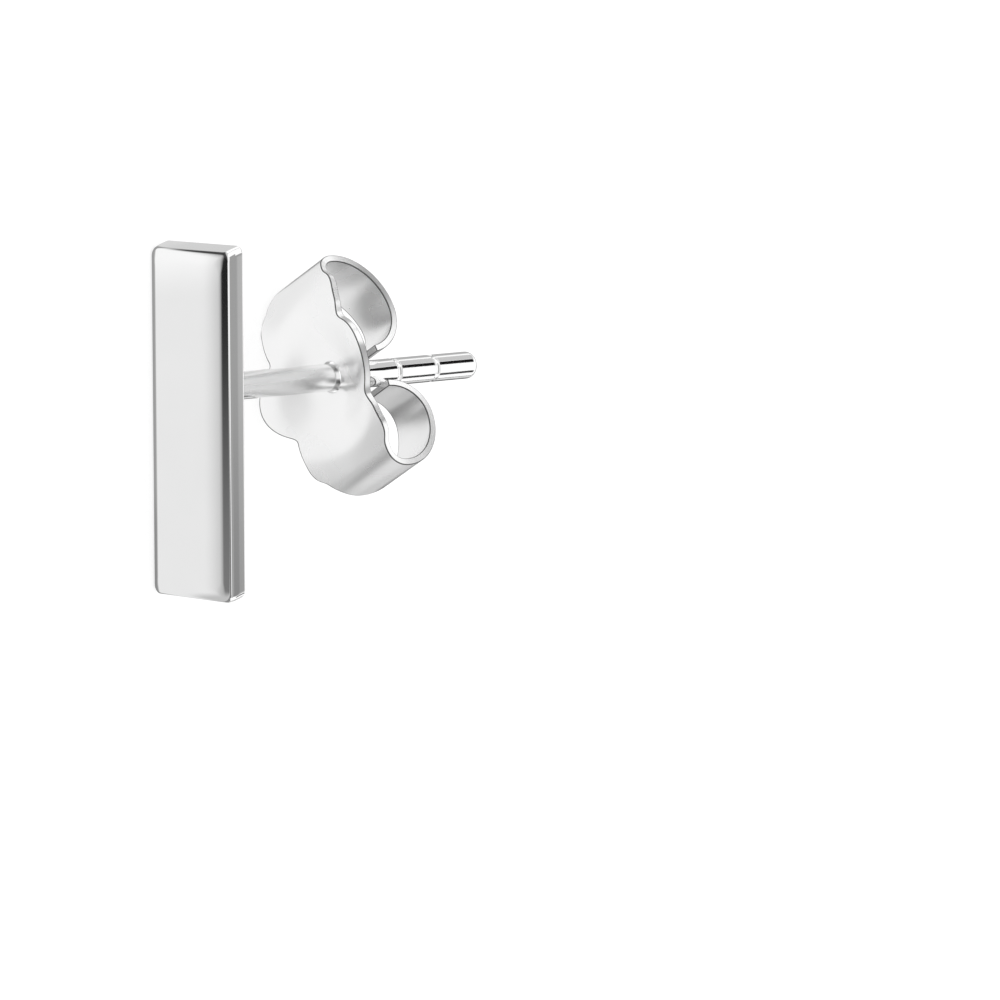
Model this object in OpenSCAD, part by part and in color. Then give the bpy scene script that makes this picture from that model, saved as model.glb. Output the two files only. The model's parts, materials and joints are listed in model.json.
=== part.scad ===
// Bar stud earring with a butterfly back, lying on a table on the long edge of its bar.
// The earring's own frame, used below until it is laid down: the post runs along +Y from
// the bar's back at y = 0, the bar's length runs along Z, and its width along X.

/* [Bar] */
// Length of the bar, end to end
bar_length = 10; // [8:0.5:20]
// Width of the bar's face
bar_width = 3.4; // [2:0.1:6]
// Thickness of the bar
bar_thickness = 0.6; // [0.4:0.05:1.5]
// Rounding of the bar's long and short edges
bar_edge_r = 0.12; // [0.05:0.01:0.18]
// Rounding of the four corners of the bar's face
bar_corner_r = 0.2; // [0.1:0.05:0.8]

/* [Post] */
// Diameter of the post's wire
post_d = 0.8; // [0.6:0.02:1]
// Length of the post, from the bar's back to its tip
post_length = 10.4; // [10:0.1:14]
// Distance of the post above the bar's middle
post_offset = 1; // [0:0.1:2]
// Rounding of the post's tip
tip_round = 0.25; // [0.05:0.01:0.3]
// Size of the solder fillet at the post's foot
solder_r = 0.25; // [0.1:0.05:0.4]

/* [Grooves in the post] */
// Number of grooves
groove_count = 2; // [0:1:3]
// Distance from the tip to the first groove
groove_first = 1.7; // [1:0.1:2]
// Distance from one groove to the next
groove_pitch = 1.5; // [0.5:0.1:1.5]
// Half width of a groove's round bottom
groove_r = 0.1; // [0.05:0.01:0.15]
// Depth of a groove
groove_depth = 0.06; // [0.02:0.01:0.1]

/* [Clutch on the post] */
// Distance from the bar's back to the middle of the clutch's plate
clutch_stand = 4.4; // [2:0.1:6]
// Turn of the clutch about the post
clutch_roll = 28.5; // [0:0.5:45]
// Slant of the clutch across the post, as it sits in the photograph
clutch_slant = 2.5; // [0:0.5:5]
// Radial clearance between the post and the hole in the plate
hole_clearance = 0.1; // [0.02:0.01:0.1]
// Clearance between the post and each ear's end
grip_clearance = 0.05; // [0.02:0.01:0.1]

/* [Clutch sheet] */
// Thickness of the sheet
sheet_t = 0.2; // [0.15:0.01:0.3]
// Width of the round lobe, across the ears
lobe_width = 5.1; // [4:0.1:6]
// Length of the round lobe, along the ears
lobe_length = 3.2; // [2.8:0.1:3.6]
// Forward curve of the lobe's edge
lobe_curve = 0.32; // [0:0.01:0.4]
// Greatest width of an ear
ear_width = 3.7; // [2.5:0.1:4]
// Radius of the dish around the hole
dish_r = 2.5; // [1.5:0.1:2.6]
// Radius of the flat middle of the dish
dish_flat = 0.55; // [0:0.05:1]
// Depth of the dish around the hole
dish_depth = 0.5; // [0:0.02:0.6]

/* [Clutch bends] */
// Straight length from the post's axis to the first bend
plate_flat = 1.3; // [1:0.1:1.6]
// Radius of the gentle bend of an ear
sweep_r = 3.7; // [3:0.1:5]
// Angle of the gentle bend
sweep_angle = 23; // [15:1:30]
// Radius of the tight bend at an ear's far end
fold_r = 0.8; // [0.5:0.05:1]
// Angle of the tight bend
fold_angle = 63; // [55:1:70]
// Radius of the round back of an ear
curl_r = 1.8; // [1.7:0.1:2.1]
// Angle of the round back
curl_angle = 86; // [75:1:90]
// Radius of the last bend, which brings the ear's end to the post
tail_r = 1; // [0.95:0.05:1.3]

/* [Hidden] */
$fn = 64;
post_r = post_d / 2;
// Material beyond a cut, so that no cut ends flush with a face
spare = 1;
// How far the post's foot is buried in the bar
foot_sink = bar_thickness / 2;

// Half width of an ear along its length, as shares of that length and of half the ear's width
EAR_FORM = [
    // along, width
    [0, 0.93],
    [0.16, 1],
    [0.25, 0.79],
    [0.34, 0.64],
    [0.5, 0.53],
    [0.75, 0.42],
    [1, 0.28],
];
// Where the ear's form begins, as a share of the lobe's half length
neck_share = 0.65;
// How softly the lobe runs into the ear
neck_blend = lobe_length / 12;
// Grid of the sheet: stations along one ear, and columns across the sheet
ear_stations = 50;
columns = 12;

// One bend of an ear, in order from the plate: radius and angle
BENDS = [
    [sweep_r, sweep_angle],
    [fold_r, fold_angle],
    [curl_r, curl_angle],
];

// State at the start of bend i: length walked, heading, distance from the post, distance back
function bend_start(i) =
    i == 0 ? [plate_flat, 0, plate_flat, 0] :
    let (from = bend_start(i - 1), bend = BENDS[i - 1])
    after_bend(from, bend[0], bend[1]);

function after_bend(from, r, angle) =
    let (heading = from[1] + angle)
    [
        from[0] + r * angle * PI / 180,
        heading,
        from[2] + r * (sin(heading) - sin(from[1])),
        from[3] - r * (cos(heading) - cos(from[1])),
    ];

// The last bend turns until the ear's end is at the post, or points straight at it
curl_end = bend_start(3);
end_distance = post_r + grip_clearance + sheet_t / 2;
end_sine = sin(curl_end[1]) + (end_distance - curl_end[2]) / tail_r;
tail_angle = 180 - asin(max(-1, end_sine)) - curl_end[1];
ALL_BENDS = concat(BENDS, [[tail_r, tail_angle]]);
STARTS = [for (i = [0:3]) bend_start(i)];
ear_length = after_bend(curl_end, tail_r, tail_angle)[0];

// Middle of the sheet at length s from the post's axis: heading, distance out, distance back
function on_path(s) =
    s <= plate_flat ? [0, s, 0] :
    let (
        i = max([for (k = [0:3]) s >= STARTS[k][0] ? k : 0]),
        from = STARTS[i],
        r = ALL_BENDS[i][0],
        to = after_bend(from, r, (s - from[0]) / r * 180 / PI)
    )
    [to[1], to[2], to[3]];

// The larger of two widths, with a soft corner where they meet
function soft_max(a, b, blend) =
    let (overlap = max(blend - abs(a - b), 0) / blend)
    max(a, b) + overlap * overlap * blend / 4;

// Smooth curve through the rows of a table of pairs
function row_slope(table, i) =
    let (a = table[max(i - 1, 0)], b = table[min(i + 1, len(table) - 1)])
    (b[1] - a[1]) / (b[0] - a[0]);
function between(table, x) =
    let (
        i = max([for (k = [0:len(table) - 2]) x >= table[k][0] ? k : 0]),
        span = table[i + 1][0] - table[i][0],
        t = (x - table[i][0]) / span,
        rise = t * t * (3 - 2 * t)
    )
    table[i][1] * (1 - rise) + table[i + 1][1] * rise
        + span * t * (1 - t) * ((1 - t) * row_slope(table, i) - t * row_slope(table, i + 1));

// Half width of the sheet at length s from the post's axis
neck = lobe_length / 2 * neck_share;
function lobe_half(s) = lobe_width / 2 * sqrt(max(0, 1 - pow(2 * s / lobe_length, 2)));
function ear_half(s) = ear_width / 2 * between(EAR_FORM, (s - neck) / (ear_length - neck));
function half_width(s) =
    s < neck ? soft_max(lobe_half(s), ear_width / 2 * EAR_FORM[0][1], neck_blend) :
    soft_max(lobe_half(s), ear_half(s), neck_blend);

// Depth of the plate's relief: dished around the hole, with the lobe's edges curved forward
function dish(out, across) =
    let (near = min(1, max(0, norm([out, across]) - dish_flat) / (dish_r - dish_flat)))
    dish_depth * (1 + cos(180 * near)) / 2;
function forward(out, across) =
    let (share = max(0, 1 - pow(2 * out / lobe_length, 2)))
    lobe_curve * share * pow(2 * across / lobe_width, 2);

// A point of the sheet, side 1 on its outer face and -1 on its inner face, in the earring's frame
function sheet_point(s, column, side) =
    let (
        way = s < 0 ? -1 : 1,
        at = on_path(abs(s)),
        across = half_width(abs(s)) * (2 * column / columns - 1),
        relief = abs(s) < lobe_length ? dish(at[1], across) - forward(at[1], across) : 0,
        out = way * (at[1] + side * sin(at[0]) * sheet_t / 2),
        back = at[2] + relief - side * cos(at[0]) * sheet_t / 2
    )
    seated([across, back, out]);

// Slants and rolls the clutch, and sets it at its place on the post
function seated(p) =
    let (
        x = p[0] * cos(clutch_slant) + p[1] * sin(clutch_slant),
        y = p[1] * cos(clutch_slant) - p[0] * sin(clutch_slant)
    )
    [
        x * cos(clutch_roll) - p[2] * sin(clutch_roll),
        y + clutch_stand,
        x * sin(clutch_roll) + p[2] * cos(clutch_roll),
    ];

STATIONS = [for (i = [-ear_stations:ear_stations]) ear_length * i / ear_stations];
across_count = columns + 1;
// Points of one ring around the sheet: the outer face's columns, then the inner face's in return
ring_count = 2 * across_count;
SHEET_POINTS = [
    for (s = STATIONS)
    for (j = [0:ring_count - 1])
    j < across_count ? sheet_point(s, j, 1) : sheet_point(s, ring_count - 1 - j, -1)
];
last_ring = (len(STATIONS) - 1) * ring_count;
SHEET_FACES = concat(
    [
        for (i = [0:len(STATIONS) - 2])
        for (j = [0:ring_count - 1])
        let (
            a = i * ring_count + j,
            b = i * ring_count + (j + 1) % ring_count,
            c = a + ring_count,
            d = b + ring_count
        )
        each [[a, b, d], [a, d, c]]
    ],
    [
        for (j = [0:columns - 1])
        let (k = ring_count - 1 - j)
        each [
            [j + 1, j, k], [j + 1, k, k - 1],
            [last_ring + j, last_ring + j + 1, last_ring + k],
            [last_ring + j + 1, last_ring + k - 1, last_ring + k],
        ]
    ]
);

// How the earring lies: on the rounded front edge of the bar's long side, and on the clutch
edge_x = -bar_width / 2 + bar_edge_r;
edge_y = -bar_thickness + bar_edge_r;
rest_tilt = max([
    for (p = SHEET_POINTS)
    let (down = edge_x - p[0], back = p[1] - edge_y)
    atan2(down, back) - asin(bar_edge_r / norm([down, back]))
]);
rest_height = bar_edge_r - edge_x * cos(rest_tilt) - edge_y * sin(rest_tilt);
// Front and back of the lying earring, from the bar's upper front edge to the post's tip
front_y = edge_y * cos(rest_tilt) + edge_x * sin(rest_tilt) - bar_edge_r;
tip_y = (post_length - tip_round) * cos(rest_tilt) + (post_r - tip_round) * sin(rest_tilt) + tip_round;

module silver() {
    color([0.9, 0.9, 0.91]) children();
}

// Lays the earring down, with the origin on the table under its middle
module at_rest() {
    translate([0, -(front_y + tip_y) / 2, rest_height])
        rotate([rest_tilt, 0, 0])
            translate([-post_offset, 0, 0])
                rotate([0, -90, 0])
                    children();
}

// Rectangle of size a by b around the origin, with round corners
module round_rectangle(a, b, r) {
    square([a, b - 2 * r], center = true);
    square([a - 2 * r, b], center = true);
    for (x = [-1, 1])
        for (y = [-1, 1])
            translate([x * (a / 2 - r), y * (b / 2 - r)])
                circle(r);
}

// The bar, its middle at the origin: each view is a rounded rectangle
module bar() {
    intersection() {
        linear_extrude(bar_length + spare, center = true)
            round_rectangle(bar_width, bar_thickness, bar_edge_r);
        rotate([90, 0, 0])
            linear_extrude(bar_thickness + spare, center = true)
                round_rectangle(bar_width, bar_length, bar_corner_r);
        rotate([90, 0, 90])
            linear_extrude(bar_width + spare, center = true)
                round_rectangle(bar_thickness, bar_length, bar_edge_r);
    }
}

// Half section of the post, from its buried foot to its tip, to be turned about the axis
module post_section() {
    difference() {
        union() {
            translate([0, -foot_sink])
                square([post_r, foot_sink + post_length - tip_round]);
            translate([0, post_length - 2 * tip_round])
                square([post_r - tip_round, 2 * tip_round]);
            intersection() {
                translate([post_r - tip_round, post_length - tip_round])
                    circle(tip_round);
                translate([0, post_length - 2 * tip_round])
                    square([post_r, 2 * tip_round]);
            }
            translate([0, -foot_sink])
                square([post_r + solder_r, foot_sink + solder_r]);
        }
        translate([post_r + solder_r, solder_r])
            circle(solder_r);
        for (i = [0:1:groove_count - 1])
            translate([
                post_r + groove_r - groove_depth,
                post_length - groove_first - i * groove_pitch
            ])
                circle(groove_r);
    }
}

// Bar and soldered post
module stud() {
    silver() at_rest() {
        translate([0, -bar_thickness / 2, -post_offset])
            bar();
        rotate([-90, 0, 0])
            rotate_extrude()
                post_section();
    }
}

// Sheet of the friction back, with the post's hole
module butterfly_clutch() {
    silver() at_rest()
        difference() {
            polyhedron(SHEET_POINTS, SHEET_FACES);
            translate([0, clutch_stand, 0])
                rotate([90, 0, 0])
                    cylinder(h = 8 * sheet_t, r = post_r + hole_clearance, center = true);
        }
}

stud();
butterfly_clutch();
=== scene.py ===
# %% [markdown]
# # A bar stud earring and its butterfly back
# This lesson dresses a small silver earring that lies on a table: a flat polished bar with a wire post
# soldered to its back, and a friction back of bent sheet on the post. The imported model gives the
# places of everything, so the lesson starts by loading it.

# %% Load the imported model
import json
import math
import bpy
import bmesh
from mathutils import Matrix, Vector


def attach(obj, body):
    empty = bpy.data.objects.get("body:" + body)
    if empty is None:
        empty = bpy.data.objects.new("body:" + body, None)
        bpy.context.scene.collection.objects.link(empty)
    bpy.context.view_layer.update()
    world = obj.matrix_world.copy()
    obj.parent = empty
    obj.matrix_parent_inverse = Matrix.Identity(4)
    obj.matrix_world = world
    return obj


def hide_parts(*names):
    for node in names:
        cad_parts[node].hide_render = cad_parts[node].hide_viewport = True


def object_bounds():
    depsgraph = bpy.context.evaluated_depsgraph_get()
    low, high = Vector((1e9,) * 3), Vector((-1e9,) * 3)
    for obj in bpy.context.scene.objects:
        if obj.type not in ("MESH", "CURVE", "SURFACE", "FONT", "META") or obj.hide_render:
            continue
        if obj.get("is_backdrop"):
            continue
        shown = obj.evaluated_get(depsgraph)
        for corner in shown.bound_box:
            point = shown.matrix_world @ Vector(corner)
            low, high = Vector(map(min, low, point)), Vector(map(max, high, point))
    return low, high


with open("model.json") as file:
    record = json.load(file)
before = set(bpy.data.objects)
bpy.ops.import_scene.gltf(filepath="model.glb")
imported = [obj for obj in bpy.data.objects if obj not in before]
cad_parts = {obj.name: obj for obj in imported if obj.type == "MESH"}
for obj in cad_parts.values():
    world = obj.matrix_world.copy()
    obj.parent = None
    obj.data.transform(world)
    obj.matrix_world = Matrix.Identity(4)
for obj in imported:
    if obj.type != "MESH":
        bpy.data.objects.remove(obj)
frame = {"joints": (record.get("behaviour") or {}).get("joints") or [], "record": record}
cad_low, cad_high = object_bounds()
print("model's box, mm:", [round(1000 * x, 2) for x in (*cad_low, *cad_high)])

# %% [markdown]
# An earring is easiest to think of upright, as it is worn: the bar's width runs along X, the post
# points back along Y, and the bar's length runs along Z. The real one lies on its side here, so every
# piece is made upright in millimetres and then laid down with one matrix. The model's record gives
# the two facts that the matrix needs: where the post meets the bar, and which way it points.

# %% From the upright earring to the one on the table
def mount(name):
    return next(m for m in frame["record"]["mounts"] if m["name"] == name)

post_foot = Vector(mount("ear_seat")["pos_m"])
along_post = Vector(frame["joints"][0]["axis"]).normalized()
along_bar = Vector((-1, 0, 0))
across_bar = along_post.cross(along_bar)
LAID = Matrix.Translation(post_foot) @ Matrix(
    (across_bar, along_post, along_bar)).transposed().to_4x4() @ Matrix.Scale(0.001, 4)
print("the post leans", round(math.degrees(math.asin(along_post.z)), 2), "degrees above the table")

# %% [markdown]
# The camera comes next, because every finish is judged through it. A long lens from about 18 cm
# flattens a thing this small the way a product shot does. It looks at the bar's face from the front
# right and a little above, as if the earring stood up, and it keeps that view of the lying earring.

# %% Camera
LENS = 230.4
AIM_TURN, AIM_RISE, AIM_ROLL = map(math.radians, (46.251, 6.541, -0.176))
AIM_X, AIM_Y, AIM_AWAY = -8.784, -2.854, 182.009
FRONT_Y, LOWER_END = 0.6, 6.0

def camera_upright():
    back = Vector((math.sin(AIM_TURN) * math.cos(AIM_RISE),
                   -math.cos(AIM_TURN) * math.cos(AIM_RISE), math.sin(AIM_RISE)))
    right = Vector((math.cos(AIM_TURN), math.sin(AIM_TURN), 0))
    up = back.cross(right)
    c, s = math.cos(AIM_ROLL), math.sin(AIM_ROLL)
    right, up = c * right + s * up, c * up - s * right
    spot = -AIM_X * right - AIM_Y * up + AIM_AWAY * back - Vector((0, FRONT_Y, LOWER_END))
    return Matrix.Translation(spot) @ Matrix((right, up, back)).transposed().to_4x4()

camera = bpy.data.objects.new("camera", bpy.data.cameras.new("camera"))
bpy.context.scene.collection.objects.link(camera)
camera.data.lens, camera.data.sensor_width = LENS, 36
camera.data.clip_start, camera.data.clip_end = 0.01, 5
spot, turn, _ = (LAID @ camera_upright()).decompose()
camera.location, camera.rotation_mode, camera.rotation_quaternion = spot, "QUATERNION", turn
bpy.context.scene.camera = camera
print("camera at, mm:", [round(1000 * x, 1) for x in spot])

# %% [markdown]
# Silver is all reflection, so its material is a mirror with small faults: a roughness that drifts from
# place to place where fingers and the polishing cloth have been, very fine lines along the polishing
# direction, and a faint unevenness of the surface that bends the reflections. All of it is made of
# noise in object coordinates, so it stays put on the metal. A thin dark line of painted shade runs
# along each stamped edge of the clutch, and it is a rougher, darker metal.

# %% Silver
def silver(name, tone, gloss, haze, line_stretch, line_depth, wave_depth):
    mat = bpy.data.materials.new(name)
    mat.use_nodes = True
    nodes, links = mat.node_tree.nodes, mat.node_tree.links
    shader = nodes["Principled BSDF"]
    shader.inputs["Metallic"].default_value = 1.0
    place = nodes.new("ShaderNodeTexCoord")

    def noise(scale, detail, stretch=(1, 1, 1)):
        fit = nodes.new("ShaderNodeMapping")
        fit.inputs["Scale"].default_value = stretch
        links.new(place.outputs["Object"], fit.inputs["Vector"])
        tex = nodes.new("ShaderNodeTexNoise")
        tex.inputs["Scale"].default_value = scale
        tex.inputs["Detail"].default_value = detail
        links.new(fit.outputs["Vector"], tex.inputs["Vector"])
        return tex.outputs["Fac"]

    def spread(value, low, high):
        fit = nodes.new("ShaderNodeMapRange")
        fit.inputs["From Min"].default_value = 0.3
        fit.inputs["From Max"].default_value = 0.7
        fit.inputs["To Min"].default_value = low
        fit.inputs["To Max"].default_value = high
        links.new(value, fit.inputs["Value"])
        return fit.outputs["Result"]

    smudge = noise(420, 3)
    links.new(spread(smudge, gloss, gloss + haze), shader.inputs["Roughness"])
    tint = nodes.new("ShaderNodeMix")
    tint.data_type = "RGBA"
    tint.inputs["A"].default_value = (*tone, 1)
    tint.inputs["B"].default_value = (*[0.975 * x for x in tone], 1)
    links.new(spread(smudge, 0, 1), tint.inputs["Factor"])
    links.new(tint.outputs["Result"], shader.inputs["Base Color"])
    waves = nodes.new("ShaderNodeBump")
    waves.inputs["Strength"].default_value = 1.0
    waves.inputs["Distance"].default_value = wave_depth
    links.new(noise(260, 1), waves.inputs["Height"])
    lines = nodes.new("ShaderNodeBump")
    lines.inputs["Strength"].default_value = 1.0
    lines.inputs["Distance"].default_value = line_depth
    links.new(noise(9000, 2, line_stretch), lines.inputs["Height"])
    links.new(waves.outputs["Normal"], lines.inputs["Normal"])
    links.new(lines.outputs["Normal"], shader.inputs["Normal"])
    print("silver:", name)
    return mat

BAR_SILVER = silver("bar_silver", (0.95, 0.95, 0.95), 0.05, 0.05, (0.03, 1, 1), 2e-8, 2e-6)
# Painted shade: this dark metal draws a painted dark line along the clutch's stamped edges.
PAINTED_EDGE_LINE = silver("painted_edge_line", (0.12, 0.12, 0.12), 0.3, 0.1, (1, 1, 1), 1e-8, 1e-6)
CLUTCH_SILVER = silver("clutch_silver", (0.95, 0.95, 0.95), 0.2, 0.12, (1, 1, 1), 6e-8, 3e-6)

# %% [markdown]
# The bar is cut from flat sheet and polished on a wheel, which softens its face towards the edges
# before it turns over them. Bevels on a box would give round edges but no soft shoulder, so the bar is
# lofted: one outline with round corners is set again and again along a profile that says how far in
# and how deep each ring lies. Two rings close together hold each flat flat.

# %% The bar's profile and outline
BAR_LENGTH, BAR_WIDTH, BAR_THICKNESS = 10.0, 3.4, 0.6
EDGE_R, CORNER_R, POST_OFFSET = 0.07, 0.24, 1.0
SHOULDER_RUN, SHOULDER_TURN = 0.34, 13.0
SIDE_RUN, SIDE_TURN = 0.24, 10.0
END_SLANT = 0.17
HOLD = 0.004

def bar_profile():
    """Rings from the face's flat to the back's flat: how far in, and how deep."""
    start, stop = math.radians(SHOULDER_TURN), math.radians(90 - SIDE_TURN)
    r = EDGE_R / (math.sin(stop) - math.sin(start))
    slopes = [(SHOULDER_RUN / 16, start * (k + 0.5) / 16) for k in range(16)]
    slopes += [(r * (stop - start) / 10, start + (stop - start) * (k + 0.5) / 10) for k in range(10)]
    slopes += [(SIDE_RUN / 8, stop + (math.pi / 2 - stop) * (k + 0.5) / 8) for k in range(8)]
    slopes.append((HOLD, math.pi / 2))
    rings = [(sum(run * math.cos(a) for run, a in slopes), 0.0)]
    for run, a in slopes:
        rings.append((rings[-1][0] - run * math.cos(a), rings[-1][1] + run * math.sin(a)))
    rings.append((0.0, BAR_THICKNESS - EDGE_R - HOLD))
    for k in range(9):
        a = math.pi / 2 * k / 8
        rings.append((EDGE_R * (1 - math.cos(a)), BAR_THICKNESS - EDGE_R * (1 - math.sin(a))))
    return rings + [(EDGE_R + HOLD, BAR_THICKNESS)]

def round_outline(half_x, half_z, r, steps=8):
    points = []
    for cx, cz, first in ((1, 1, 0), (-1, 1, 90), (-1, -1, 180), (1, -1, 270)):
        arc = [math.radians(first + 90 * k / steps) for k in range(steps + 1)]
        corner = [((half_x - r) * cx + r * math.cos(a), (half_z - r) * cz + r * math.sin(a)) for a in arc]
        (x0, z0), (x1, z1) = corner[0], corner[-1]
        before = (x0 + HOLD * math.sin(arc[0]), z0 - HOLD * math.cos(arc[0]))
        after = (x1 - HOLD * math.sin(arc[-1]), z1 + HOLD * math.cos(arc[-1]))
        points += [before, *corner, after]
    return points

# %% Loft the bar
def loft(name, rings, material):
    bm = bmesh.new()
    made = [[bm.verts.new(p) for p in ring] for ring in rings]
    n = len(made[0])
    for a, b in zip(made, made[1:]):
        for k in range(n):
            bm.faces.new((a[k], b[k], b[(k + 1) % n], a[(k + 1) % n]))
    bm.faces.new(made[0])
    bm.faces.new(reversed(made[-1]))
    bmesh.ops.recalc_face_normals(bm, faces=bm.faces)
    mesh = bpy.data.meshes.new(name)
    bm.to_mesh(mesh)
    bm.free()
    mesh.polygons.foreach_set("use_smooth", [True] * len(mesh.polygons))
    mesh.materials.append(material)
    return mesh

def finish_piece(name, mesh, body, slot, *stands_for):
    mesh.transform(LAID)
    piece = bpy.data.objects.new(name, mesh)
    bpy.context.scene.collection.objects.link(piece)
    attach(piece, body)
    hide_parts(*stands_for)
    print(name, "has", len(mesh.polygons), "faces")
    return piece

bar_rings = []
for inset, depth in bar_profile():
    outline = round_outline(BAR_WIDTH / 2 - inset, BAR_LENGTH / 2 - inset, CORNER_R + 0.15 * inset)
    rise = END_SLANT * depth / BAR_THICKNESS
    bar_rings.append([(x, depth - BAR_THICKNESS, z - POST_OFFSET + rise) for x, z in outline])
finish_piece("polished_bar", loft("polished_bar", bar_rings, BAR_SILVER), "stud", "bar_silver", "stud")

# %% [markdown]
# The post is drawn wire. It stands in a small fillet of solder, and two shallow grooves near its end
# are where the clutch clicks into place. It is turned from a half profile, the way a lathe would
# make it: a radius for every step along the wire.

# %% Turn the post
POST_R, POST_LENGTH, TIP_ROUND, SOLDER_R = 0.4, 10.4, 0.25, 0.25
GROOVE_R, GROOVE_DEPTH, GROOVE_FIRST, GROOVE_PITCH, GROOVE_COUNT = 0.1, 0.06, 1.7, 1.5, 2
POST_SIDES = 64

def post_profile():
    points = [(-0.1, POST_R + SOLDER_R), (0.0, POST_R + SOLDER_R)]
    for k in range(1, 13):
        a = math.pi / 2 * k / 12
        flare = SOLDER_R * (1 - math.cos(math.pi / 2 - a)) if k < 12 else 0
        points.append((SOLDER_R * math.sin(a), POST_R + flare))
    centre = POST_R + GROOVE_R - GROOVE_DEPTH
    half = math.sqrt(GROOVE_R ** 2 - (centre - POST_R) ** 2)
    for i in reversed(range(GROOVE_COUNT)):
        middle = POST_LENGTH - GROOVE_FIRST - i * GROOVE_PITCH
        points.append((middle - half - 2 * HOLD, POST_R))
        for k in range(13):
            y = half * math.sin(math.radians(-90 + 15 * k))
            points.append((middle + y, centre - math.sqrt(GROOVE_R ** 2 - y * y)))
        points.append((middle + half + 2 * HOLD, POST_R))
    points.append((POST_LENGTH - TIP_ROUND - HOLD, POST_R))
    for k in range(11):
        a = math.pi / 2 * k / 10
        points.append((POST_LENGTH - TIP_ROUND * (1 - math.sin(a)), POST_R - TIP_ROUND * (1 - math.cos(a))))
    return points

post_rings = []
for y, r in post_profile():
    turns = [math.tau * k / POST_SIDES for k in range(POST_SIDES)]
    post_rings.append([(r * math.cos(a), y, r * math.sin(a)) for a in turns])
finish_piece("ear_post", loft("ear_post", post_rings, BAR_SILVER), "stud", "bar_silver", "stud")

# %% [markdown]
# The clutch is one stamped blank: a round lobe across the middle, and two ears that are rolled back
# until their ends grip the post. Its shape follows a rule, so Geometry Nodes make it. The object's own
# mesh is the bend line of one ear, seen from the side, and the tree wraps a flat grid along it: the
# distance from the post gives the place on the bend line, and the widths come from the blank's form.

# %% The bend line of one ear
PLATE_FLAT, SHEET_T, GRIP_GAP = 1.3, 0.2, 0.05
BENDS = [
    # radius, angle
    (3.7, 23),
    (0.8, 63),
    (1.8, 86),
]
TAIL_R = 1.0

def bend_line(step=0.03):
    s, heading, out, back = PLATE_FLAT, 0.0, PLATE_FLAT, 0.0
    points = [(0.0, 0.0), (PLATE_FLAT, 0.0)]
    def walk(r, turn):
        nonlocal s, heading, out, back
        n = max(4, round(r * turn / step))
        for _ in range(n):
            nxt = heading + turn / n
            out += r * (math.sin(nxt) - math.sin(heading))
            back -= r * (math.cos(nxt) - math.cos(heading))
            heading = nxt
            points.append((out, back))
        s += r * turn
    for r, angle in BENDS:
        walk(r, math.radians(angle))
    end_out = POST_R + GRIP_GAP + SHEET_T / 2
    sine = math.sin(heading) + (end_out - out) / TAIL_R
    walk(TAIL_R, math.pi - math.asin(max(-1.0, sine)) - heading)
    return points, s

BEND_LINE, EAR_LENGTH = bend_line()
print("one ear is", round(EAR_LENGTH, 2), "mm long, measured along its bends")

# %% [markdown]
# The blank's outline has two parts: the lobe is an ellipse, and an ear is widest just outside it and
# then narrows to its end. A Float Curve holds the ear's form as shares of its length and width. Where
# lobe and ear meet, a smooth maximum leaves the small notch that the press leaves. A punch presses a
# shallow dish round the hole, flat in its middle, and bends the lobes' far edges a little forward.

# %% Sizes of the clutch and a helper for its tree
CLUTCH_SIZES = {
    "Ear Length": EAR_LENGTH, "Ear Width": 3.7, "Neck": 1.04, "Notch Blend": 0.4,
    "Lobe Width": 5.1, "Lobe Length": 3.2, "Lobe Curve": 0.32,
    "Dish Radius": 2.5, "Dish Flat": 0.55, "Dish Depth": 0.5, "Hole Radius": 0.46, "Edge Line": 0.036,
    "Slant": math.radians(2.5), "Roll": math.radians(28.5), "Stand": 4.4,
}
EAR_FORM = [
    # along, width
    (0, 0.93),
    (0.16, 1),
    (0.25, 0.79),
    (0.34, 0.64),
    (0.5, 0.53),
    (0.75, 0.42),
    (1, 0.28),
]
EAR_STEPS, SIDE_STEPS, RING_STEPS, HOLE_STEPS = 120, 24, 12, 6

def calculator(tree):
    def calc(operation, *values):
        node = tree.nodes.new("ShaderNodeMath")
        node.operation = operation
        for socket, value in zip(node.inputs, values):
            if isinstance(value, (int, float)):
                socket.default_value = value
            else:
                tree.links.new(value, socket)
        return node.outputs[0]
    return calc

# %% [markdown]
# The tree starts from a grid whose positions are whole numbers: steps along the ears in X and steps
# across the sheet in Y. Around the post the inner steps form a square block, and each square ring of it
# is eased into a circle towards the middle, so the round hole is bounded by whole quads and shades
# cleanly. Only the faces inside the innermost ring are deleted.

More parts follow.
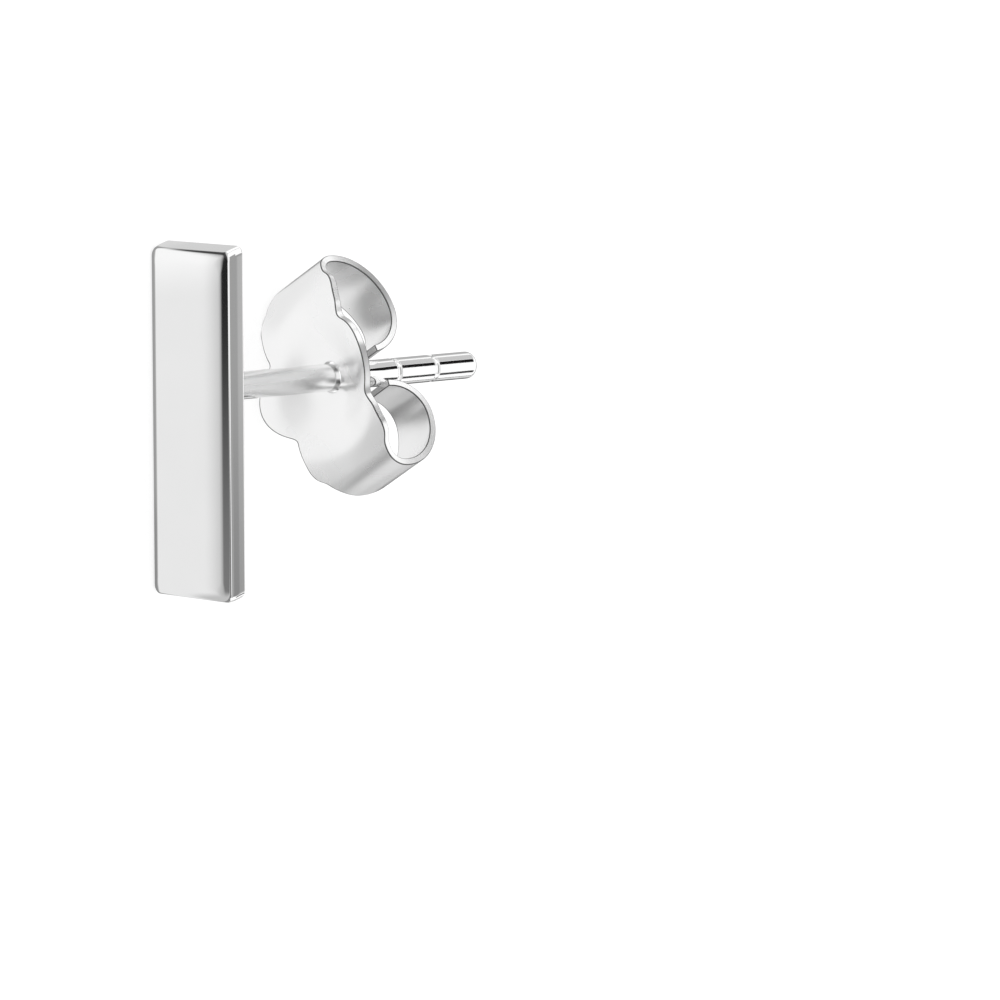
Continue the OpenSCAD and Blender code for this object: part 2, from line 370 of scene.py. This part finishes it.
# %% The clutch's tree
def clutch_tree():
    tree = bpy.data.node_groups.new("clutch_blank", "GeometryNodeTree")
    face = tree.interface
    face.new_socket("Bend Line", in_out="INPUT", socket_type="NodeSocketGeometry")
    for name, value in CLUTCH_SIZES.items():
        face.new_socket(name, in_out="INPUT", socket_type="NodeSocketFloat").default_value = value
    for name in ("Silver", "Painted Line"):
        face.new_socket(name, in_out="INPUT", socket_type="NodeSocketMaterial")
    face.new_socket("Clutch", in_out="OUTPUT", socket_type="NodeSocketGeometry")
    nodes, links, calc = tree.nodes, tree.links, calculator(tree)
    size = nodes.new("NodeGroupInput").outputs
    ring = calc("MULTIPLY", size["Hole Radius"], RING_STEPS / HOLE_STEPS)

    grid = nodes.new("GeometryNodeMeshGrid")
    grid.inputs["Size X"].default_value = 2 * EAR_STEPS
    grid.inputs["Size Y"].default_value = 2 * SIDE_STEPS
    grid.inputs["Vertices X"].default_value = 2 * EAR_STEPS + 1
    grid.inputs["Vertices Y"].default_value = 2 * SIDE_STEPS + 1
    step = nodes.new("ShaderNodeSeparateXYZ")
    links.new(nodes.new("GeometryNodeInputPosition").outputs[0], step.inputs[0])
    way, side = calc("SIGN", step.outputs["X"]), calc("SIGN", step.outputs["Y"])
    i, j = calc("ABSOLUTE", step.outputs["X"]), calc("ABSOLUTE", step.outputs["Y"])
    hole = nodes.new("GeometryNodeDeleteGeometry")
    hole.domain = "FACE"
    links.new(grid.outputs["Mesh"], hole.inputs["Geometry"])
    links.new(calc("LESS_THAN", calc("MAXIMUM", i, j), HOLE_STEPS), hole.inputs["Selection"])
    rim = nodes.new("GeometryNodeStoreNamedAttribute")
    rim.domain, rim.data_type = "FACE", "BOOLEAN"
    rim.inputs["Name"].default_value = "rim"
    links.new(hole.outputs["Geometry"], rim.inputs["Geometry"])
    links.new(calc("GREATER_THAN", j, SIDE_STEPS - 1), rim.inputs["Value"])

    def stepped(k, end, steps):
        inner = calc("MULTIPLY", calc("MINIMUM", k, RING_STEPS), calc("DIVIDE", ring, RING_STEPS))
        outer = calc("DIVIDE", calc("SUBTRACT", end, ring), steps - RING_STEPS)
        beyond = calc("MAXIMUM", calc("SUBTRACT", k, RING_STEPS), 0)
        return calc("ADD", inner, calc("MULTIPLY", beyond, outer))

    s = stepped(i, size["Ear Length"], EAR_STEPS)

    share = calc("DIVIDE", s, calc("MULTIPLY", size["Lobe Length"], 0.5))
    dome = calc("SQRT", calc("MAXIMUM", calc("SUBTRACT", 1, calc("MULTIPLY", share, share)), 0))
    lobe_half = calc("MULTIPLY", calc("MULTIPLY", size["Lobe Width"], 0.5), dome)
    form = nodes.new("ShaderNodeFloatCurve")
    points = form.mapping.curves[0].points
    for _ in EAR_FORM[2:]:
        points.new(0.5, 0.5)
    for point, (x, y) in zip(points, EAR_FORM):
        point.location = (x, y)
    form.mapping.update()
    links.new(calc("DIVIDE", calc("MAXIMUM", calc("SUBTRACT", s, size["Neck"]), 0),
                   calc("SUBTRACT", size["Ear Length"], size["Neck"])), form.inputs["Value"])
    ear_half = calc("MULTIPLY", calc("MULTIPLY", size["Ear Width"], 0.5), form.outputs["Value"])
    half = calc("SMOOTH_MAX", lobe_half, ear_half, size["Notch Blend"])

    away = nodes.new("ShaderNodeMapRange")
    away.interpolation_type = "SMOOTHSTEP"
    links.new(s, away.inputs["Value"])
    links.new(ring, away.inputs["From Min"])
    links.new(calc("MULTIPLY", ring, 3), away.inputs["From Max"])
    inside = calc("SUBTRACT", half, size["Edge Line"])
    k = calc("MINIMUM", j, SIDE_STEPS - 1)
    even = calc("MULTIPLY", inside, calc("DIVIDE", k, SIDE_STEPS - 1))
    by_ring = stepped(k, inside, SIDE_STEPS - 1)
    across = calc("ADD", by_ring, calc("MULTIPLY", calc("SUBTRACT", even, by_ring), away.outputs["Result"]))
    across = calc("ADD", across, calc("MULTIPLY", calc("SUBTRACT", j, k), size["Edge Line"]))

    reach = calc("MAXIMUM", s, across)
    rounding = calc("DIVIDE", calc("SUBTRACT", ring, reach), calc("SUBTRACT", ring, size["Hole Radius"]))
    rounding = calc("MINIMUM", calc("MAXIMUM", rounding, 0), 1)
    from_axis = calc("SQRT", calc("ADD", calc("MULTIPLY", s, s), calc("MULTIPLY", across, across)))
    ease = calc("ADD", calc("SUBTRACT", 1, rounding),
                calc("MULTIPLY", rounding, calc("DIVIDE", reach, calc("MAXIMUM", from_axis, 0.001))))
    s, across = calc("MULTIPLY", s, ease), calc("MULTIPLY", across, ease)

    line = nodes.new("GeometryNodeMeshToCurve")
    links.new(size["Bend Line"], line.inputs["Mesh"])
    bend = nodes.new("GeometryNodeSampleCurve")
    bend.mode = "LENGTH"
    links.new(line.outputs["Curve"], bend.inputs["Curves"])
    links.new(s, bend.inputs["Length"])
    at = nodes.new("ShaderNodeSeparateXYZ")
    links.new(bend.outputs["Position"], at.inputs[0])
    out, back = at.outputs["X"], at.outputs["Y"]

    near = calc("SQRT", calc("ADD", calc("MULTIPLY", out, out), calc("MULTIPLY", across, across)))
    near = calc("DIVIDE", calc("SUBTRACT", near, size["Dish Flat"]),
                calc("SUBTRACT", size["Dish Radius"], size["Dish Flat"]))
    near = calc("MINIMUM", calc("MAXIMUM", near, 0), 1)
    dish = calc("MULTIPLY", calc("MULTIPLY", size["Dish Depth"], 0.5),
                calc("ADD", 1, calc("COSINE", calc("MULTIPLY", near, math.pi))))
    along = calc("DIVIDE", out, calc("MULTIPLY", size["Lobe Length"], 0.5))
    edge = calc("DIVIDE", across, calc("MULTIPLY", size["Lobe Width"], 0.5))
    forward = calc("MULTIPLY", size["Lobe Curve"], calc("MULTIPLY", calc("MULTIPLY", edge, edge),
                   calc("MAXIMUM", calc("SUBTRACT", 1, calc("MULTIPLY", along, along)), 0)))
    relief = calc("MULTIPLY", calc("SUBTRACT", dish, forward), calc("LESS_THAN", s, size["Lobe Length"]))

    place = nodes.new("ShaderNodeCombineXYZ")
    links.new(calc("MULTIPLY", across, side), place.inputs["X"])
    links.new(calc("ADD", back, relief), place.inputs["Y"])
    links.new(calc("MULTIPLY", out, way), place.inputs["Z"])
    shaped = nodes.new("GeometryNodeSetPosition")
    links.new(rim.outputs["Geometry"], shaped.inputs["Geometry"])
    links.new(place.outputs["Vector"], shaped.inputs["Position"])
    geometry = shaped.outputs["Geometry"]
    for axis, turn, stand in (("Z", size["Slant"], 0), ("Y", size["Roll"], size["Stand"])):
        move = nodes.new("GeometryNodeTransform")
        angles, shift = nodes.new("ShaderNodeCombineXYZ"), nodes.new("ShaderNodeCombineXYZ")
        links.new(calc("MULTIPLY", turn, -1), angles.inputs[axis])
        links.new(calc("ADD", stand, 0), shift.inputs["Y"])
        links.new(angles.outputs[0], move.inputs["Rotation"])
        links.new(shift.outputs[0], move.inputs["Translation"])
        links.new(geometry, move.inputs["Geometry"])
        geometry = move.outputs["Geometry"]
    for kind in ("SetShadeSmooth", "RealizeInstances", "SetMaterial", "SetMaterial"):
        last = nodes.new("GeometryNode" + kind)
        links.new(geometry, last.inputs["Geometry"])
        geometry = last.outputs["Geometry"]
    # The outermost band of the blank gets the dark metal, a painted line of shade along its outline.
    silver_all, painted_line_rim = [n for n in nodes if n.bl_idname == "GeometryNodeSetMaterial"]
    links.new(size["Silver"], silver_all.inputs["Material"])
    links.new(size["Painted Line"], painted_line_rim.inputs["Material"])
    at_rim = nodes.new("GeometryNodeInputNamedAttribute")
    at_rim.data_type = "BOOLEAN"
    at_rim.inputs["Name"].default_value = "rim"
    links.new(at_rim.outputs["Attribute"], painted_line_rim.inputs["Selection"])
    links.new(geometry, nodes.new("NodeGroupOutput").inputs["Clutch"])
    print("the clutch's tree has", len(nodes), "nodes")
    return tree

# %% [markdown]
# Now the blank gets its thickness. Solidify grows the sheet to both sides of the surface, and Bevel
# breaks every stamped edge. The broken edges get the painted dark line of shade, on both sides of the
# bright cut. Both modifiers pick materials by slot, and they see the slots of the blank's own mesh, not
# those of the tree, so that mesh gets three: an empty place that the grid brings, the silver and the
# dark metal of the painted line. The few faces round the hole go back to plain silver, without it.

# %% Bend the clutch and give it its thickness
BROKEN_EDGE = 0.034
BARE_HOLE_R, BEHIND_PLATE = 0.6, 6

line = bpy.data.meshes.new("bend_line")
line.from_pydata([(out, back, 0) for out, back in BEND_LINE],
                 [(k, k + 1) for k in range(len(BEND_LINE) - 1)], [])
for material in (CLUTCH_SILVER, CLUTCH_SILVER, PAINTED_EDGE_LINE):
    line.materials.append(material)
blank = bpy.data.objects.new("blank", line)
bpy.context.scene.collection.objects.link(blank)
tree = clutch_tree()
form = blank.modifiers.new("form", "NODES")
form.node_group = tree
values = {**CLUTCH_SIZES, "Silver": CLUTCH_SILVER, "Painted Line": PAINTED_EDGE_LINE}
for item in tree.interface.items_tree:
    if item.in_out == "INPUT" and item.name in values:
        form[item.identifier] = values[item.name]
thick = blank.modifiers.new("thick", "SOLIDIFY")
thick.thickness, thick.offset, thick.use_even_offset = SHEET_T, 0, True
thick.material_offset_rim = -1
broken = blank.modifiers.new("broken", "BEVEL")
broken.width, broken.segments, broken.limit_method = BROKEN_EDGE, 2, "ANGLE"
broken.angle_limit, broken.material = math.radians(50), 2
broken.harden_normals = True
bpy.context.view_layer.update()
bent = bpy.data.meshes.new_from_object(blank.evaluated_get(bpy.context.evaluated_depsgraph_get()))
bent.name = "clutch_sheet"
bent.attributes.remove(bent.attributes["rim"])
bent.materials.pop(index=0)
# Round the hole the painted dark edge line is left off: these faces go back to plain silver.
for face in bent.polygons:
    if math.hypot(face.center.x, face.center.z) < BARE_HOLE_R and face.center.y < BEHIND_PLATE:
        face.material_index = 0
# Counts the faces that carry the painted dark edge line.
painted_line_faces = sum(face.material_index for face in bent.polygons)
print("clutch materials:", [m.name for m in bent.materials], "and", painted_line_faces, "faces of painted_line")
bpy.data.objects.remove(blank)
finish_piece("clutch_sheet", bent, "clutch", "clutch_silver", "butterfly_clutch")

# %% [markdown]
# The earring lies on a white sheet. A white surround lights everything evenly, as a light tent does,
# and the sheet itself glows a little, so that shadows stay soft and small.

# %% Floor and surround
bpy.context.scene.view_settings.view_transform = "Standard"
world = bpy.data.worlds.new("tent")
bpy.context.scene.world = world
world.use_nodes = True
world.node_tree.nodes["Background"].inputs["Color"].default_value = (1, 1, 1, 1)
world.node_tree.nodes["Background"].inputs["Strength"].default_value = 1.1

def sheet_of(name, points, material, faces=((0, 1, 2, 3),)):
    mesh = bpy.data.meshes.new(name)
    mesh.from_pydata(points, [], faces)
    mesh.materials.append(material)
    obj = bpy.data.objects.new(name, mesh)
    bpy.context.scene.collection.objects.link(obj)
    obj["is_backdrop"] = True
    return obj

paper = bpy.data.materials.new("floor_paper")
paper.use_nodes = True
shader = paper.node_tree.nodes["Principled BSDF"]
shader.inputs["Base Color"].default_value = (0.42, 0.42, 0.42, 1)
shader.inputs["Roughness"].default_value = 0.8
shader.inputs["Specular IOR Level"].default_value = 0.2
shader.inputs["Emission Color"].default_value = (1, 1, 1, 1)
shader.inputs["Emission Strength"].default_value = 0.66
W = 0.6
sheet_of("floor", [(-W, -W, 0), (W, -W, 0), (W, W, 0), (-W, W, 0)], paper)

# %% [markdown]
# Silver in an all-white tent turns into white fog. A photographer slides dark and grey cards into the
# tent until every edge has a line. They are seen only in reflections, so they glow by themselves
# and neither show to the camera nor shade the sheet. Their tones change smoothly with the place
# on the card, which a small group of map-range nodes works out in millimetres.

# %% Reflection cards
def tone_material(name, rule):
    mat = bpy.data.materials.new(name)
    mat.use_nodes = True
    tree = mat.node_tree
    tree.nodes.remove(tree.nodes["Principled BSDF"])
    glow, place = tree.nodes.new("ShaderNodeEmission"), tree.nodes.new("ShaderNodeTexCoord")
    parts = tree.nodes.new("ShaderNodeSeparateXYZ")
    tree.links.new(place.outputs["Object"], parts.inputs[0])
    calc = calculator(tree)

    def ramp(value, start, end, low=0.0, high=1.0):
        node = tree.nodes.new("ShaderNodeMapRange")
        node.interpolation_type = "SMOOTHSTEP"
        tree.links.new(value, node.inputs["Value"])
        ends = {"From Min": start / 1000, "From Max": end / 1000, "To Min": low, "To Max": high}
        for key, number in ends.items():
            if isinstance(number, (int, float)):
                node.inputs[key].default_value = number
            else:
                tree.links.new(number, node.inputs[key])
        return node.outputs["Result"]

    tone = rule(parts.outputs["X"], parts.outputs["Y"], parts.outputs["Z"], ramp, calc)
    tree.links.new(tone, glow.inputs["Color"])
    tree.links.new(glow.outputs[0], tree.nodes["Material Output"].inputs["Surface"])
    return mat

def reflected_only(obj):
    obj.visible_camera = obj.visible_diffuse = obj.visible_shadow = obj.visible_transmission = False

def floor_tone(x, y, z, ramp, calc):
    def total(*parts):
        value = 0
        for part in parts:
            value = calc("ADD", value, part)
        return value

    def blend(a, b, share):
        return total(calc("MULTIPLY", a, calc("SUBTRACT", 1, share)), calc("MULTIPLY", b, share))

    face = total(0.85, ramp(x, -3.4, -4.9, 0, 0.14), ramp(y, -6.6, -7.6, 0, -0.35))
    front = blend(face, ramp(x, -4, 6, 0.015, 0.2), ramp(y, -7.5, -8.3))
    # Painted shade: just behind the bar the card is grey and lightens away from it, where the bar's shadow
    # lies on the floor.
    middle = blend(0.35, total(0.72, ramp(y, -4.2, -3.0, 0, 0.23)), ramp(y, -4.8, -4.6))
    middle = total(calc("MULTIPLY", middle, ramp(x, 1.8, 3.2, 1, 0.82)),
                   calc("MULTIPLY", ramp(x, -1.8, -2.8, 0, -0.1), ramp(y, -1.0, -0.2)))
    lean = total(y, calc("MULTIPLY", x, 0.35), -0.00035)
    light = ramp(x, 1.0, 3.4, 0.9, 0.2)
    # Painted shade: under the clutch the card is dark, where the floor lies in the clutch's shadow.
    under = blend(0.2, light, ramp(lean, 0.25, 0.7))
    under = calc("MAXIMUM", total(under, ramp(y, 4, 7, 0, -0.45), ramp(y, 12, 30, 0, 0.1)), 0.05)
    at_left = total(ramp(y, -4.6, -5.4, 0.66, 0.06), ramp(x, -8, -14, 0, 0.6), ramp(y, 0, 3, 0, -0.2))
    right_front = total(0.85, ramp(y, -5.6, -6.4, 0, -0.3), ramp(x, 6.6, 7.2, 0, -0.3))
    right_back = total(0.62, calc("MULTIPLY", ramp(x, 6, 12.5, 0, -0.29), ramp(y, 0.5, -1.5, 0.3, 1)),
                       ramp(x, 13, 17, 0, 0.28))
    at_right = blend(right_front, right_back, ramp(y, -4.9, -4.5))
    tone = blend(front, middle, ramp(y, -5.06, -4.99))
    tone = blend(tone, under, ramp(lean, -0.75, -0.3))
    tone = blend(tone, at_left, ramp(x, -5.15, -6.0))
    return blend(tone, at_right, ramp(x, 5.3, 6.0))

R = 0.35
reflected_only(sheet_of("floor_card", [(-R, -R, 2e-5), (R, -R, 2e-5), (R, R, 2e-5), (-R, R, 2e-5)],
                        tone_material("floor_card", floor_tone)))

rim = [(R * math.cos(math.tau * k / 64), R * math.sin(math.tau * k / 64)) for k in range(65)]
reflected_only(sheet_of("wall_card", [(x, y, z) for x, y in rim for z in (0, 0.025)],
                        tone_material("wall_card", lambda x, y, z, ramp, calc: ramp(x, -60, 60, 0.6, 0.06)),
                        [(2 * k, 2 * k + 2, 2 * k + 3, 2 * k + 1) for k in range(64)]))

# %% [markdown]
# The cards in the air are set by the direction in which the earring sees them: a turn from straight
# behind it, towards the right, and a rise, both in degrees, and the angles that the card fills.

# %% Cards in the air
def card(name, turn, rise, wide, tall, low, high, away=0.25):
    t, r = math.radians(turn), math.radians(rise)
    way = Vector((math.sin(t) * math.cos(r), math.cos(t) * math.cos(r), math.sin(r)))
    right = Vector((math.cos(t), -math.sin(t), 0))
    up = right.cross(way)
    half_w, half_t = away * math.tan(math.radians(wide / 2)), away * math.tan(math.radians(tall / 2))
    centre = Vector((0, 0, 0.003)) + away * way
    corners = [centre + a * half_w * right + b * half_t * up
               for a, b in ((-1, -1), (1, -1), (1, 1), (-1, 1))]
    bottom, top = 1000 * corners[0].z, 1000 * corners[2].z
    reflected_only(sheet_of(name, corners, tone_material(
        name, lambda x, y, z, ramp, calc: ramp(z, bottom, top, low, high))))

card("post_line", -40, 41, 17, 17, 0.01, 0.01)
card("post_shade", 44, 34, 13, 13, 0.05, 0.05)
card("post_soft", -47, 17, 24, 28, 0.6, 0.6)

# %% [markdown]
# The last two cards hang closer, but clear of the earring. A grey one above it gives the bar's narrow
# side its tone. A bent panel in front closes the low gap that the lobes look into, and it is darker
# towards the bar, where the photo's plate turns grey.

# %% Closer cards above and in front
side = [(-8, -3.4, 12), (10, -3.4, 12), (10, 1.8, 12), (-8, 1.8, 12)]

def side_tone(x, y, z, ramp, calc):
    return calc("MULTIPLY", ramp(y, -1, 1.2, 0.36, 0.68), ramp(x, -2, 7, 1, 0.72))

reflected_only(sheet_of("side_card", [tuple(0.001 * a for a in p) for p in side],
                        tone_material("side_card", side_tone)))

def panel_tone(x, y, z, ramp, calc):
    low = calc("MULTIPLY", ramp(x, -3, 5, 1.0, 0.2), ramp(y, -15.4, -15, 1, 0))
    return calc("ADD", low, calc("MULTIPLY", ramp(y, -15.4, -15), ramp(y, -12, -11, 1, 0.36)))

arc = [math.radians(4 + 100 * k / 32) for k in range(33)]
panel = [(x, -0.005 - 0.014 * math.cos(a), 0.002 + 0.014 * math.sin(a))
         for a in arc for x in (-0.015, 0.015)]
reflected_only(sheet_of("front_panel", panel, tone_material("front_panel", panel_tone),
                        [(2 * k, 2 * k + 1, 2 * k + 3, 2 * k + 2) for k in range(32)]))

# %% The last lines print the model's box and the scene's box
size = {"cad": [list(cad_low), list(cad_high)], "visual": [list(x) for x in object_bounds()]}
for name, (low, high) in size.items():
    print(name, "box, mm:", [round(1000 * x, 2) for x in (*low, *high)])
